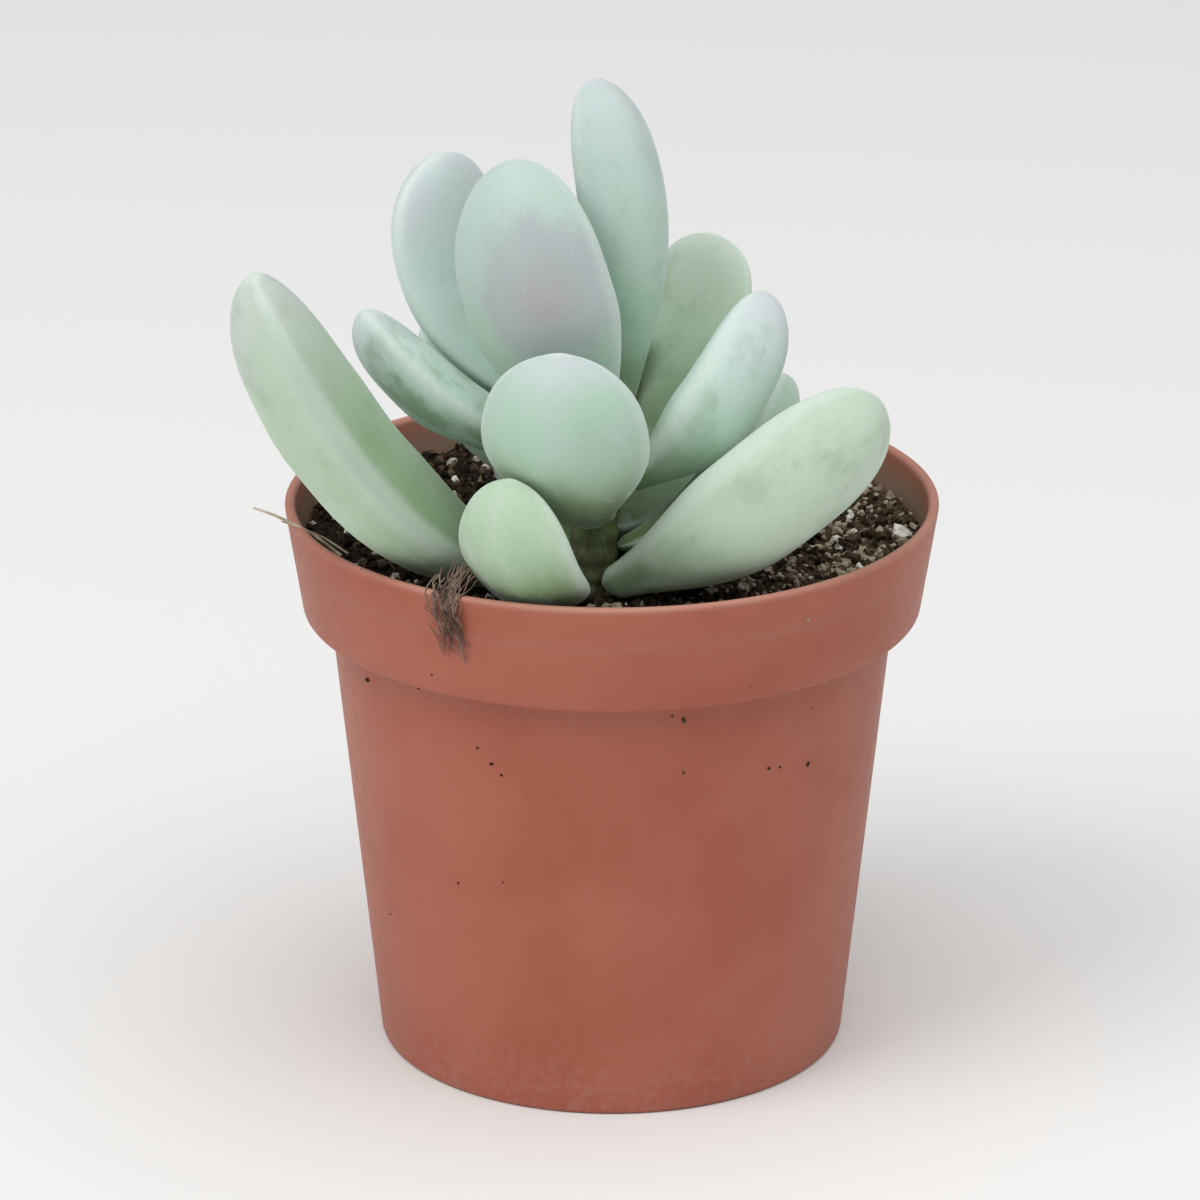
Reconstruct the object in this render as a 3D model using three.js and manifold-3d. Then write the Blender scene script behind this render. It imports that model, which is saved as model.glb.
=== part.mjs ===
// A young Pachyphytum bracteosum in a small plastic nursery pot.
//
// Millimetres, +Z up. The origin is the middle of the pot's underside, and the plant's front faces -Y.
// The pot is one thin moulded wall. It holds a plug of potting mix, and the stem stands in a hole in that.
// Every fleshy leaf is a solid of its own, seated against the stem, and the growing tip is one more.
import * as THREE from "three";
import { mergeVertices } from "three/addons/utils/BufferGeometryUtils.js";
import Module from "manifold-3d";

const wasm = await Module();
wasm.setup();

// Clear space between pieces that touch in the real object.
const GAP = 0.3;

// Pot: a collar on a tapered body, with a plain step between them.
const POT_HEIGHT = 48;
const RIM_RADIUS = 27.5;
const WALL = 0.9;
const COLLAR_HEIGHT = 9.5;
const COLLAR_FOOT_RADIUS = 26;
const BODY_TOP_RADIUS = 23.8;
const BASE_RADIUS = 19.8;
const STEP_HEIGHT = POT_HEIGHT - COLLAR_HEIGHT;
const EDGE_ROUND = 0.45;
const EDGE_EASE = 0.3 * EDGE_ROUND;
const POT_SIDES = 72;

// Pot's base: a flat middle pad and a foot ring, with a raised channel between them that drains.
const PAD_RADIUS = 7;
const FOOT_RING_WIDTH = 3.8;
const CHANNEL_DEPTH = 0.9;
const FLOOR_TOP = 1.8;
const DRAIN_HOLES = 8;
const DRAIN_RADIUS = 1.3;
const DRAIN_SIDES = 14;

// Potting mix: its top lies a little below the rim.
const SOIL_TOP = POT_HEIGHT - 3;
const SOIL_SIDES = 48;
const SOIL_RINGS = 11;
const SOIL_EDGE_DROP = 0.8;
const SOIL_FOOT_ROUND = 1.2;
const LUMP = 0.28;
// Waves of the lumps, each in radians a millimetre along X and along Y
const LUMP_WAVE = [1.3, 0.7];
const CROSS_WAVE = [-0.5, 1.1];
const FINE_WAVE = [2.1, -1.7];
const FINE_SHARE = 0.6;
const STEM_HOLE_SIDES = 24;

// Stem: it stands towards the front left of the pot and leans back to the right as it rises.
const STEM_X = -1.7;
const STEM_Y = -14;
const STEM_DEPTH = 9;
const STEM_HEIGHT = 15;
const STEM_LEAN_X = 3.1;
const STEM_LEAN_Y = 8;
const STEM_RADIUS = 2.3;
const STEM_TIP_RADIUS = 1.1;
const STEM_SIDES = 14;
const STEM_STEPS = 12;

// Leaf: narrow at the root, fullest past the middle, with a blunt tip and a flatter upper side.
const LEAF_SIDES = 16;
const LEAF_STEPS = 16;
const WIDEST_AT = 0.63;
const SWELL = 1.7;
const BLUNTNESS = 2.8;
const ELBOW = 0.5;
const ROOT_SHARE = 0.3;
const ROOT_ROUND = 0.04;
const UPPER_SHARE = 0.42;

// Leaves from the lowest root to the highest.
// root: height up the stem. face: bearing it grows out to, 0 to the right and 270 to the front.
// tip: where its tip stands, from the pot's axis and above the mix.
// bow: how far the leaf sags off the straight line from root to tip, as a share of that line.
// widest, blunt, elbow and twist, where a leaf differs from the rest: where it is widest, how square its
// tip is, where along its line it bows, and by how many degrees its flat side turns off its bearing.
const LEAVES = [
  { root: 1.0, face: 292, tip: [21.6, -16, 16.9], bow: 0.06, width: 12, thick: 8.6, widest: 0.5, blunt: 3 },
  { root: 1.0, face: 240, tip: [-8, -24.3, 12.9], bow: 0.24, width: 11, thick: 4.7, widest: 0.47 },
  {
    root: 1.6, face: 188, tip: [-28.8, -18, 28], bow: 0.13, elbow: 0.27,
    width: 11, thick: 8.6, widest: 0.6, blunt: 3.8,
  },
  { root: 2.4, face: 112, tip: [-6.4, 9, 14], bow: 0.14, width: 10.6, thick: 7 },
  { root: 3.6, face: 340, tip: [14.6, -1.6, 14], bow: 0.1, width: 8.8, thick: 4.6, widest: 0.55 },
  { root: 4.4, face: 66, tip: [8, 9.4, 13], bow: 0.18, width: 9.6, thick: 6.4 },
  { root: 6.4, face: 258, tip: [-4.2, -22.6, 22.9], bow: 0.15, width: 13.8, thick: 7, blunt: 2.3 },
  { root: 6.8, face: 155, tip: [-14.7, 3.8, 17.6], bow: 0.1, width: 8.4, thick: 5 },
  { root: 8.6, face: 320, tip: [12.5, -9.5, 23.9], bow: 0.11, width: 9.2, thick: 6.6, widest: 0.46 },
  { root: 10.2, face: 200, tip: [-20.5, -8.4, 21.9], bow: 0.09, width: 8, thick: 5.4 },
  { root: 9.4, face: 90, tip: [-0.8, 5.4, 22.6], bow: 0.14, width: 9, thick: 6 },
  {
    root: 11.4, face: 248, tip: [-8, -11.5, 35.7], bow: 0.12,
    width: 13.4, thick: 6.8, widest: 0.52, blunt: 2.4,
  },
  { root: 11.8, face: 145, tip: [-14.4, -0.8, 32.9], bow: 0.18, width: 14, thick: 5.8, blunt: 3.4 },
  { root: 10.8, face: 12, twist: 43, tip: [8.4, -1, 26.2], bow: 0.08, width: 9.8, thick: 4.2, blunt: 3.4 },
  { root: 14, face: 260, twist: 50, tip: [-1.7, -6, 40.8], bow: 0.1, width: 8.2, thick: 6.6, blunt: 2.6 },
];

// Growing tip: a few tiny leaves round the stem's end.
const BUD_LEAVES = 4;
const BUD_LENGTH = 4.6;
const BUD_WIDTH = 2;
const BUD_THICKNESS = 1.6;
const BUD_BOW = 0.1;
const BUD_FACE = 100;
const BUD_LEAN = 0.9;
const BUD_SPREAD = 0.4;
const BUD_SHORTENING = 0.5;
const BUD_SIDES = 10;
const BUD_STEPS = 8;
const GOLDEN_ANGLE = 137.5;

const radians = THREE.MathUtils.degToRad;
const bearing = (degrees) => new THREE.Vector3(Math.cos(radians(degrees)), Math.sin(radians(degrees)), 0);

// A geometry as a closed solid, with its shared corners merged.
function solid(geometry) {
  const g = geometry.clone();
  g.deleteAttribute("normal");
  g.deleteAttribute("uv");
  const merged = mergeVertices(g, 1e-4);
  const vertProperties = new Float32Array(merged.attributes.position.array);
  const triVerts = new Uint32Array(merged.index.array);
  return new wasm.Manifold(new wasm.Mesh({ numProp: 3, vertProperties, triVerts }));
}

function geometryOf(made) {
  const mesh = made.getMesh();
  const g = new THREE.BufferGeometry();
  g.setAttribute("position", new THREE.BufferAttribute(mesh.vertProperties, 3));
  g.setIndex(new THREE.BufferAttribute(mesh.triVerts, 1));
  g.computeVertexNormals();
  return g;
}

// Turns a profile of [radius, height] pairs about the pot's axis.
function turned(profile, sides) {
  const points = profile.map(([radius, height]) => new THREE.Vector2(radius, height));
  return new THREE.LatheGeometry(points, sides).rotateX(Math.PI / 2);
}

const uprightRod = (radius, height, sides) =>
  new THREE.CylinderGeometry(radius, radius, height, sides).rotateX(Math.PI / 2);

// Pot
const bodyRadius = (z) => THREE.MathUtils.mapLinear(z, 0, STEP_HEIGHT, BASE_RADIUS, BODY_TOP_RADIUS);
const collarRadius = (z) =>
  THREE.MathUtils.mapLinear(z, STEP_HEIGHT, POT_HEIGHT, COLLAR_FOOT_RADIUS, RIM_RADIUS);

function potGeometry() {
  const ringInner = BASE_RADIUS - FOOT_RING_WIDTH;
  const lip = POT_HEIGHT - EDGE_ROUND;
  const ledge = STEP_HEIGHT + WALL;
  const profile = [
    [0, 0],
    [PAD_RADIUS, 0],
    [PAD_RADIUS + EDGE_ROUND, CHANNEL_DEPTH],
    [ringInner - EDGE_ROUND, CHANNEL_DEPTH],
    [ringInner, 0],
    [BASE_RADIUS - 2 * EDGE_ROUND, 0],
    [BASE_RADIUS - EDGE_EASE, EDGE_EASE],
    [bodyRadius(2 * EDGE_ROUND), 2 * EDGE_ROUND],
    [bodyRadius(STEP_HEIGHT - EDGE_ROUND), STEP_HEIGHT - EDGE_ROUND],
    [bodyRadius(STEP_HEIGHT) + EDGE_ROUND, STEP_HEIGHT],
    [COLLAR_FOOT_RADIUS - EDGE_ROUND, STEP_HEIGHT],
    [collarRadius(STEP_HEIGHT + EDGE_ROUND), STEP_HEIGHT + EDGE_ROUND],
    [collarRadius(lip), lip],
    [RIM_RADIUS - EDGE_EASE, POT_HEIGHT - EDGE_EASE],
    [RIM_RADIUS - EDGE_ROUND, POT_HEIGHT],
    [RIM_RADIUS - WALL + EDGE_EASE, POT_HEIGHT - EDGE_EASE],
    [collarRadius(lip) - WALL, lip],
    [collarRadius(ledge + EDGE_ROUND) - WALL, ledge + EDGE_ROUND],
    [COLLAR_FOOT_RADIUS - WALL - EDGE_ROUND, ledge],
    [bodyRadius(ledge) - WALL + EDGE_ROUND, ledge],
    [bodyRadius(ledge - EDGE_ROUND) - WALL, ledge - EDGE_ROUND],
    [bodyRadius(FLOOR_TOP + WALL) - WALL, FLOOR_TOP + WALL],
    [bodyRadius(FLOOR_TOP) - 2 * WALL, FLOOR_TOP],
    [0, FLOOR_TOP],
  ];
  let made = solid(turned(profile, POT_SIDES));
  const holeCircle = (PAD_RADIUS + ringInner) / 2;
  for (let i = 0; i < DRAIN_HOLES; i++) {
    const place = bearing(((i + 0.5) * 360) / DRAIN_HOLES).multiplyScalar(holeCircle);
    const drill = uprightRod(DRAIN_RADIUS, 4 * FLOOR_TOP, DRAIN_SIDES).translate(place.x, place.y, FLOOR_TOP);
    made = made.subtract(solid(drill));
  }
  return geometryOf(made);
}

// Potting mix, with a plain hole for the stem
function soilGeometry() {
  const inBody = (z) => bodyRadius(z) - WALL - GAP;
  const inCollar = (z) => collarRadius(z) - WALL - GAP;
  const floor = FLOOR_TOP + GAP;
  const ledge = STEP_HEIGHT + WALL + GAP;
  const shoulder = SOIL_TOP - SOIL_EDGE_DROP;
  const profile = [
    [0, floor],
    [inBody(floor) - SOIL_FOOT_ROUND, floor],
    [inBody(floor + SOIL_FOOT_ROUND), floor + SOIL_FOOT_ROUND],
    [inBody(STEP_HEIGHT), STEP_HEIGHT],
    [inBody(STEP_HEIGHT) + GAP, ledge],
    [inCollar(ledge) - WALL, ledge + GAP],
    [inCollar(ledge + WALL), ledge + WALL],
    [inCollar(shoulder), shoulder],
  ];
  const topEdge = inCollar(shoulder) - SOIL_EDGE_DROP;
  for (let ring = SOIL_RINGS; ring >= 0; ring--) profile.push([(topEdge * ring) / SOIL_RINGS, SOIL_TOP]);
  const g = turned(profile, SOIL_SIDES);
  const p = g.attributes.position;
  for (let i = 0; i < p.count; i++) {
    if (p.getZ(i) < SOIL_TOP - EDGE_EASE) continue;
    const wave = ([alongX, alongY]) => Math.sin(alongX * p.getX(i) + alongY * p.getY(i));
    const broad = wave(LUMP_WAVE) * wave(CROSS_WAVE);
    const fine = FINE_SHARE * wave(FINE_WAVE);
    p.setZ(i, SOIL_TOP + LUMP * (broad + fine - 1));
  }
  const holeBottom = SOIL_TOP - STEM_DEPTH - GAP;
  const holeTop = SOIL_TOP + STEM_RADIUS;
  const hole = uprightRod(STEM_RADIUS + GAP, holeTop - holeBottom, STEM_HOLE_SIDES);
  hole.translate(STEM_X, STEM_Y, (holeTop + holeBottom) / 2);
  return geometryOf(solid(g).subtract(solid(hole)));
}

// Stem, as a middle line and a radius at each height above the mix
function stemPoint(height) {
  const t = Math.max(height / STEM_HEIGHT, 0);
  return new THREE.Vector3(STEM_X + STEM_LEAN_X * t * t, STEM_Y + STEM_LEAN_Y * t * t, SOIL_TOP + height);
}

function stemRadius(height) {
  const t = THREE.MathUtils.clamp(height / STEM_HEIGHT, 0, 1);
  return THREE.MathUtils.lerp(STEM_RADIUS, STEM_TIP_RADIUS, t);
}

function stemGeometry() {
  const length = STEM_DEPTH + STEM_HEIGHT;
  const g = new THREE.CylinderGeometry(1, 1, length, STEM_SIDES, STEM_STEPS).rotateX(Math.PI / 2);
  const p = g.attributes.position;
  for (let i = 0; i < p.count; i++) {
    const height = p.getZ(i) + length / 2 - STEM_DEPTH;
    const middle = stemPoint(height);
    const r = stemRadius(height);
    p.setXYZ(i, middle.x + p.getX(i) * r, middle.y + p.getY(i) * r, middle.z);
  }
  return g;
}

// Share of a leaf's full width at a place along it, 0 at the root and 1 at the tip
function fullness(t, widest, blunt) {
  if (t > widest) return Math.sqrt(1 - ((t - widest) / (1 - widest)) ** blunt);
  const swell = Math.sin(((Math.PI / 2) * t) / widest) ** SWELL;
  return (ROOT_SHARE + (1 - ROOT_SHARE) * swell) * Math.min(1, Math.sqrt(t / ROOT_ROUND));
}

// A leaf from its root's middle to its tip. Untwisted, its outer side looks along the bearing "face".
function leafGeometry(leaf) {
  const { from, tip, face, bow, width, thick, sides = LEAF_SIDES, steps = LEAF_STEPS } = leaf;
  const { widest = WIDEST_AT, blunt = BLUNTNESS, elbow = ELBOW, twist = 0 } = leaf;
  const side = bearing(face + twist - 90);
  const line = tip.clone().sub(from);
  const outer = new THREE.Vector3().crossVectors(line, side).normalize();
  const middle = from.clone().addScaledVector(line, elbow).addScaledVector(outer, 2 * bow * line.length());
  const spine = new THREE.QuadraticBezierCurve3(from, middle, tip);
  const g = new THREE.SphereGeometry(1, sides, steps);
  const p = g.attributes.position;
  for (let i = 0; i < p.count; i++) {
    const t = THREE.MathUtils.clamp((1 + p.getY(i)) / 2, 0, 1);
    const ring = Math.sqrt(Math.max(0, 1 - p.getY(i) ** 2));
    const place = spine.getPoint(t);
    if (ring > 1e-5) {
      const along = spine.getTangent(t);
      const right = side.clone().addScaledVector(along, -side.dot(along)).normalize();
      const up = new THREE.Vector3().crossVectors(right, along);
      const full = fullness(t, widest, blunt) / ring;
      const depth = thick * (p.getZ(i) > 0 ? UPPER_SHARE : 1 - UPPER_SHARE);
      place.addScaledVector(right, (p.getX(i) * full * width) / 2);
      place.addScaledVector(up, p.getZ(i) * full * depth);
    }
    p.setXYZ(i, place.x, place.y, place.z);
  }
  return g;
}

// Seats a leaf on the stem: a steep leaf stands out by the depth of its own root.
function seated(leaf) {
  const foot = stemPoint(leaf.root);
  const tip = new THREE.Vector3(leaf.tip[0], leaf.tip[1], SOIL_TOP + leaf.tip[2]);
  const steep = tip.clone().sub(foot).normalize().z;
  const rootDepth = steep * leaf.thick * UPPER_SHARE * ROOT_SHARE;
  const from = foot.addScaledVector(bearing(leaf.face), stemRadius(leaf.root) + GAP + rootDepth);
  return leafGeometry({ ...leaf, from, tip });
}

// Growing tip: its tiny leaves share a short core, so they are one solid.
function crownGeometry() {
  const foot = stemPoint(STEM_HEIGHT).add(new THREE.Vector3(0, 0, GAP));
  const core = new THREE.SphereGeometry(STEM_TIP_RADIUS, BUD_SIDES, BUD_STEPS);
  core.translate(foot.x, foot.y, foot.z + STEM_TIP_RADIUS);
  let made = solid(core);
  for (let i = 0; i < BUD_LEAVES; i++) {
    const face = BUD_FACE + i * GOLDEN_ANGLE;
    const from = foot.clone().addScaledVector(bearing(face), STEM_TIP_RADIUS / 4);
    from.z += STEM_TIP_RADIUS / 2;
    const rise = new THREE.Vector3(0, BUD_LEAN, BUD_LENGTH - BUD_SHORTENING * i);
    const tip = from.clone().add(rise).addScaledVector(bearing(face), BUD_SPREAD);
    const size = { bow: BUD_BOW, width: BUD_WIDTH, thick: BUD_THICKNESS, sides: BUD_SIDES, steps: BUD_STEPS };
    made = made.add(solid(leafGeometry({ from, tip, face, ...size })));
  }
  return geometryOf(made);
}

const potPlastic = { color: "#b5654f", roughness: 0.55 };
const peat = { color: "#3b2f28", roughness: 0.95 };
const stemSkin = { color: "#8f9a6d", roughness: 0.75 };
const leafSkin = { color: "#b3cdb8", roughness: 0.6 };

const root = new THREE.Group();
function place(name, geometry, look) {
  const mesh = new THREE.Mesh(geometry, new THREE.MeshStandardMaterial({ metalness: 0, ...look }));
  mesh.name = name;
  root.add(mesh);
}

place("pot", potGeometry(), potPlastic);
place("soil", soilGeometry(), peat);
place("stem", stemGeometry(), stemSkin);
LEAVES.forEach((leaf, i) => place(`leaf_${String(i + 1).padStart(2, "0")}`, seated(leaf), leafSkin));
place("crown", crownGeometry(), leafSkin);

export default root;
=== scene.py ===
# Finished look of a young Pachyphytum bracteosum in its small plastic nursery pot.
# Metres, +Z up, the plant's front towards -Y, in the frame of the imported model.
import math
import random

import bmesh
import bpy
from mathutils import Matrix, Vector, noise


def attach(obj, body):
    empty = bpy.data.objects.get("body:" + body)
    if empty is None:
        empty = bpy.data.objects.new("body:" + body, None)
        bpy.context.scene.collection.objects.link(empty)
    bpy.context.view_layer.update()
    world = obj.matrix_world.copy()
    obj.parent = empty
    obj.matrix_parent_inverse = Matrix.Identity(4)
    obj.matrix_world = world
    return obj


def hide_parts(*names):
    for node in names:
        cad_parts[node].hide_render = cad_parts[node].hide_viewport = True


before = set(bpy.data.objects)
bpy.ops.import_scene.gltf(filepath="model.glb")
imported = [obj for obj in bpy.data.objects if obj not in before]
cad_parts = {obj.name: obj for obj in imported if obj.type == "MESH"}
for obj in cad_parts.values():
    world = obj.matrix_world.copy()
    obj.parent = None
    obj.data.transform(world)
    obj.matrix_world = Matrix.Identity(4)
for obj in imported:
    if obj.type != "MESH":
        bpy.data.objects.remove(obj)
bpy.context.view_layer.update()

# Pot
# A round nursery pot, injection moulded in terracotta-brown polypropylene under a millimetre thick.
# A collar steps out over the tapered body, and the base drains through a ring of small holes.
MM = 0.001
POT_HEIGHT = 48 * MM
RIM_RADIUS = 27.5 * MM
WALL = 0.9 * MM
COLLAR_HEIGHT = 9.5 * MM
COLLAR_FOOT_RADIUS = 26 * MM
BODY_TOP_RADIUS = 23.8 * MM
BASE_RADIUS = 19.8 * MM
STEP_HEIGHT = POT_HEIGHT - COLLAR_HEIGHT
PAD_RADIUS = 7 * MM
FOOT_RING_WIDTH = 3.8 * MM
CHANNEL_DEPTH = 0.9 * MM
FLOOR_TOP = 1.8 * MM
EDGE_ROUND = 0.42 * MM
EDGE_SEGMENTS = 4
LONGEST_STRETCH = 2 * MM
POT_SIDES = 176
DRAIN_HOLES = 8
DRAIN_RADIUS = 1.3 * MM
DRAIN_SIDES = 28
MERGE_DISTANCE = 0.001 * MM
TERRACOTTA = "#A2543E"
TERRACOTTA_PALE = "#AA5F49"
POT_DUST = "#A88676"
POT_STAIN = "#6A4434"
# Pale lip colour: wear from handling and a painted highlight along the rounded top
LIP_WEAR_AND_HIGHLIGHT = "#BC8D7C"
SPLASH = "#8F8270"
CLOUD_SIZE = 11 * MM
FLOW_WIDTH = 1.6 * MM
FLOW_STRETCH = 0.04
DUST_SIZE = 0.9 * MM
STAIN_SIZE = 2.4 * MM
# The mould's own orange peel is too fine to show, so it is drawn this coarse.
PEEL_SIZE = 0.35 * MM
PEEL_DEPTH = 0.03 * MM
DUST_UNDER_STEP = 2.2 * MM
DUST_OVER_STEP = 0.2 * MM
DUST_UP_FOOT = 8 * MM
LIP_MIDDLE = RIM_RADIUS - WALL / 2
LIP_INNER = RIM_RADIUS - WALL
LIP_WEAR_AND_HIGHLIGHT_DEPTH = 0.7 * MM
SPLASH_START = POT_HEIGHT - 4 * MM
SPLASH_FULL = POT_HEIGHT - 3.5 * MM
SPLASH_FADING = POT_HEIGHT - 2.5 * MM


def between(low, high, share):
    return low + (high - low) * share


def body_radius(height):
    return between(BASE_RADIUS, BODY_TOP_RADIUS, height / STEP_HEIGHT)


def collar_radius(height):
    return between(COLLAR_FOOT_RADIUS, RIM_RADIUS, (height - STEP_HEIGHT) / COLLAR_HEIGHT)


def outline(points):
    """A chain of edges through [radius, height] points, in the plane of X and Z."""
    shape = bmesh.new()
    corners = [shape.verts.new((radius, 0, height)) for radius, height in points]
    for first, second in zip(corners, corners[1:]):
        shape.edges.new((first, second))
    return shape, corners


def spin_closed(shape, sides):
    """Turns a chain of edges about Z into a closed shell that faces outwards."""
    bmesh.ops.spin(
        shape,
        geom=shape.verts[:] + shape.edges[:],
        axis=(0, 0, 1),
        cent=(0, 0, 0),
        angle=2 * math.pi,
        steps=sides,
        use_merge=True,
    )
    bmesh.ops.remove_doubles(shape, verts=shape.verts, dist=MERGE_DISTANCE)
    bmesh.ops.recalc_face_normals(shape, faces=shape.faces)


def mesh_of(name, shape):
    mesh = bpy.data.meshes.new(name)
    shape.to_mesh(mesh)
    shape.free()
    return mesh


def piece(name, mesh, look, slot, *nodes, smooth=True):
    """A finished piece of the object, which stands for the named nodes."""
    mesh.materials.clear()
    mesh.materials.append(look)
    if smooth:
        mesh.shade_smooth()
    else:
        mesh.shade_flat()
    made = bpy.data.objects.new(name, mesh)
    bpy.context.scene.collection.objects.link(made)
    if nodes:
        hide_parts(*nodes)
    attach(made, "root")


def linear(code):
    """An sRGB hex colour as linear red, green, blue and alpha."""
    shares = [int(code[i : i + 2], 16) / 255 for i in (1, 3, 5)]
    return [s / 12.92 if s <= 0.04045 else ((s + 0.055) / 1.055) ** 2.4 for s in shares] + [1.0]


def add(tree, kind, inputs=(), output=0, **settings):
    """Adds a node and gives back one of its outputs. Each input is a value to set or an output to link."""
    node = tree.nodes.new(kind)
    for name, value in settings.items():
        setattr(node, name, value)
    for name, value in dict(inputs).items():
        if isinstance(value, bpy.types.NodeSocket):
            tree.links.new(value, node.inputs[name])
        else:
            node.inputs[name].default_value = value
    return node.outputs[output]


def material(name, **finish):
    """A material with its shader's own sockets set. Underscores in a name stand for spaces."""
    made = bpy.data.materials.new(name)
    made.use_nodes = True
    shader = made.node_tree.nodes["Principled BSDF"]
    for socket, value in finish.items():
        shader.inputs[socket.replace("_", " ")].default_value = value
    return made, made.node_tree, shader


# The sockets of a Mix node that mixes two colours go by number, because several share a name.
MIX_FACTOR, MIX_A, MIX_B, MIX_RESULT = 0, 6, 7, 2


def coated(tree, colour, coat, pattern, bare, covered, most=1.0):
    """A colour with a coat of another: none where a pattern reads bare, the most where it reads covered.

    Each colour is a hex code or a node's output, and most may be an output too.
    """
    colour, coat = [linear(c) if isinstance(c, str) else c for c in (colour, coat)]
    levels = {"Value": pattern, "From Min": bare, "From Max": covered, "To Max": most}
    amount = add(tree, "ShaderNodeMapRange", levels, interpolation_type="SMOOTHSTEP")
    layers = {MIX_FACTOR: amount, MIX_A: colour, MIX_B: coat}
    return add(tree, "ShaderNodeMix", layers, MIX_RESULT, data_type="RGBA")


def moulded_polypropylene():
    """Satin plastic with a fine orange peel and faint upright flow marks.

    Soil dust lies in the step, near the foot and inside above the mix. The lip is painted pale,
    partly as wear from handling and partly as a painted highlight along its rounded top.
    """
    made, tree, shader = material("moulded polypropylene", IOR=1.49, Specular_IOR_Level=0.42)
    place = add(tree, "ShaderNodeTexCoord", output="Object")
    height = add(tree, "ShaderNodeSeparateXYZ", {0: place}, "Z")
    level = add(tree, "ShaderNodeVectorMath", {0: place, 1: (1, 1, 0)}, operation="MULTIPLY")
    radius = add(tree, "ShaderNodeVectorMath", {0: level}, "Value", operation="LENGTH")
    upright = add(tree, "ShaderNodeMapping", {"Vector": place, "Scale": (1, 1, FLOW_STRETCH)})
    cloud = add(tree, "ShaderNodeTexNoise", {"Vector": place, "Scale": 1 / CLOUD_SIZE, "Detail": 3})
    flow = add(tree, "ShaderNodeTexNoise", {"Vector": upright, "Scale": 1 / FLOW_WIDTH, "Detail": 3})
    powdery = {"Vector": place, "Scale": 1 / DUST_SIZE, "Detail": 6, "Roughness": 0.65}
    powder = add(tree, "ShaderNodeTexNoise", powdery)
    blotchy = {"Vector": place, "Scale": 1 / STAIN_SIZE, "Detail": 5, "Roughness": 0.7}
    stain = add(tree, "ShaderNodeTexNoise", blotchy)
    peel = add(tree, "ShaderNodeTexNoise", {"Vector": place, "Scale": 1 / PEEL_SIZE})

    colour = coated(tree, TERRACOTTA, TERRACOTTA_PALE, cloud, bare=0.3, covered=0.7)
    colour = coated(tree, colour, TERRACOTTA_PALE, flow, bare=0.5, covered=0.75, most=0.3)
    up_to_step = {"Value": height, "From Min": STEP_HEIGHT - DUST_UNDER_STEP, "From Max": STEP_HEIGHT}
    dust = add(tree, "ShaderNodeMapRange", {**up_to_step, "To Max": 0.3})
    past_step = {"Value": height, "From Min": STEP_HEIGHT, "From Max": STEP_HEIGHT + DUST_OVER_STEP}
    dust = add(tree, "ShaderNodeMapRange", {**past_step, "To Min": dust, "To Max": 0})
    colour = coated(tree, colour, POT_DUST, powder, bare=0.42, covered=0.68, most=dust)
    up_foot = {"Value": height, "From Max": DUST_UP_FOOT, "To Min": 0.35, "To Max": 0.06}
    dust = add(tree, "ShaderNodeMapRange", up_foot)
    colour = coated(tree, colour, POT_DUST, powder, bare=0.42, covered=0.68, most=dust)
    colour = coated(tree, colour, POT_STAIN, stain, bare=0.68, covered=0.76, most=0.3)
    above_mix = {"Value": height, "From Min": SPLASH_START, "From Max": SPLASH_FULL, "To Max": 0.75}
    splash = add(tree, "ShaderNodeMapRange", above_mix)
    to_lip = {"Value": height, "From Min": SPLASH_FADING, "From Max": POT_HEIGHT}
    splash = add(tree, "ShaderNodeMapRange", {**to_lip, "To Min": splash, "To Max": 0.07})
    colour = coated(tree, colour, SPLASH, radius, bare=LIP_MIDDLE, covered=LIP_INNER, most=splash)
    # The lip's pale band, painted partly as wear and partly as a highlight along its rounded top
    lip_wear_and_highlight = {"Value": cloud, "From Min": 0.2, "From Max": 0.6, "To Min": 0.3, "To Max": 0.7}
    worn = add(tree, "ShaderNodeMapRange", lip_wear_and_highlight)
    wear_and_highlight_start = POT_HEIGHT - LIP_WEAR_AND_HIGHLIGHT_DEPTH
    colour = coated(tree, colour, LIP_WEAR_AND_HIGHLIGHT, height, bare=wear_and_highlight_start, covered=POT_HEIGHT, most=worn)
    tree.links.new(colour, shader.inputs["Base Color"])
    satin = {"Value": powder, "From Min": 0.3, "From Max": 0.7, "To Min": 0.4, "To Max": 0.58}
    tree.links.new(add(tree, "ShaderNodeMapRange", satin), shader.inputs["Roughness"])
    bump = add(tree, "ShaderNodeBump", {"Strength": 0.22, "Distance": PEEL_DEPTH, "Height": peel})
    tree.links.new(bump, shader.inputs["Normal"])
    return made


ring_inner = BASE_RADIUS - FOOT_RING_WIDTH
ledge = STEP_HEIGHT + WALL
pot, corners = outline(
    [
        (0, 0),
        (PAD_RADIUS, 0),
        (PAD_RADIUS + CHANNEL_DEPTH / 2, CHANNEL_DEPTH),
        (ring_inner - CHANNEL_DEPTH / 2, CHANNEL_DEPTH),
        (ring_inner, 0),
        (BASE_RADIUS, 0),
        (BODY_TOP_RADIUS, STEP_HEIGHT),
        (COLLAR_FOOT_RADIUS, STEP_HEIGHT),
        (RIM_RADIUS, POT_HEIGHT),
        (RIM_RADIUS - WALL, POT_HEIGHT),
        (collar_radius(ledge) - WALL, ledge),
        (body_radius(ledge) - WALL, ledge),
        (body_radius(FLOOR_TOP) - WALL, FLOOR_TOP),
        (0, FLOOR_TOP),
    ]
)
bmesh.ops.bevel(
    pot,
    geom=corners[1:-1],
    offset=EDGE_ROUND,
    segments=EDGE_SEGMENTS,
    profile=0.5,
    affect="VERTICES",
    material=-1,
)
for stretch in [e for e in pot.edges if e.calc_length() > 2 * LONGEST_STRETCH]:
    cuts = int(stretch.calc_length() / LONGEST_STRETCH)
    bmesh.ops.subdivide_edges(pot, edges=[stretch], cuts=cuts)
spin_closed(pot, POT_SIDES)

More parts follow.
